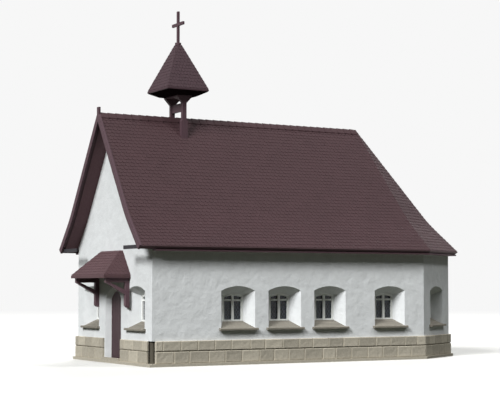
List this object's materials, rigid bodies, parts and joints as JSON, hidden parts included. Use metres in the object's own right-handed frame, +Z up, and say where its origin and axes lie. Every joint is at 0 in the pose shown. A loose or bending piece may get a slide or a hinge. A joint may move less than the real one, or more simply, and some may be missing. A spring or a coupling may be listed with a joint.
{
  "type": "chapel building model",
  "caption": "Small scale-model chapel: steep bell-cast roof hipped over a three-sided apse, splayed arched windows, stone plinth, hooded door and a ridge turret with a cross.",
  "frame": {"origin": "on the ground, under the middle of the rectangular hall (halfway between the front wall's outer face and the line where the apse begins)", "axes": "+X the right side of the building, seen from in front with the door facing the viewer; -Y the entrance front; +Y the apse; +Z up"},
  "size_m": [0.0838, 0.1767, 0.1519],
  "materials": {
    "wall_plastic": "matt, fine plaster texture, warm white",
    "stone_plastic": "matt, grey-brown stone colour",
    "tile_plastic": "matt, dark red-brown tile texture",
    "timber_plastic": "matt, dark brown",
    "door_plastic": "matt, brown planks",
    "window_plastic": "matt white",
    "glazing": "clear sheet over a dark interior"
  },
  "bodies": {
    "root": {"apse_end_wall": "wall_plastic", "apse_glazing": "glazing", "apse_left_wall": "wall_plastic", "apse_right_wall": "wall_plastic", "apse_sills": "stone_plastic", "apse_window_frames": "window_plastic", "bargeboard_left": "timber_plastic", "bargeboard_right": "timber_plastic", "cross": "timber_plastic", "door_leaf": "door_plastic", "door_step": "stone_plastic", "eave_returns": "timber_plastic", "footing": "stone_plastic", "front_glazing": "glazing", "front_sills": "stone_plastic", "front_wall": "wall_plastic", "front_window_frames": "window_plastic", "left_glazing": "glazing", "left_sills": "stone_plastic", "left_wall": "wall_plastic", "left_window_frames": "window_plastic", "plinth_apse": "stone_plastic", "plinth_front": "stone_plastic", "plinth_left": "stone_plastic", "plinth_right": "stone_plastic", "porch_brackets": "timber_plastic", "porch_roof": "tile_plastic", "ridge_cap": "tile_plastic", "right_glazing": "glazing", "right_sills": "stone_plastic", "right_wall": "wall_plastic", "right_window_frames": "window_plastic", "roof_apse_end": "tile_plastic", "roof_apse_left": "tile_plastic", "roof_apse_right": "tile_plastic", "roof_left": "tile_plastic", "roof_right": "tile_plastic", "soffit_apse": "timber_plastic", "soffit_left": "timber_plastic", "soffit_right": "timber_plastic", "spire": "tile_plastic", "turret_head": "timber_plastic", "turret_posts": "timber_plastic", "turret_rail": "timber_plastic", "verge_finial": "timber_plastic"}
  },
  "joints": []
}
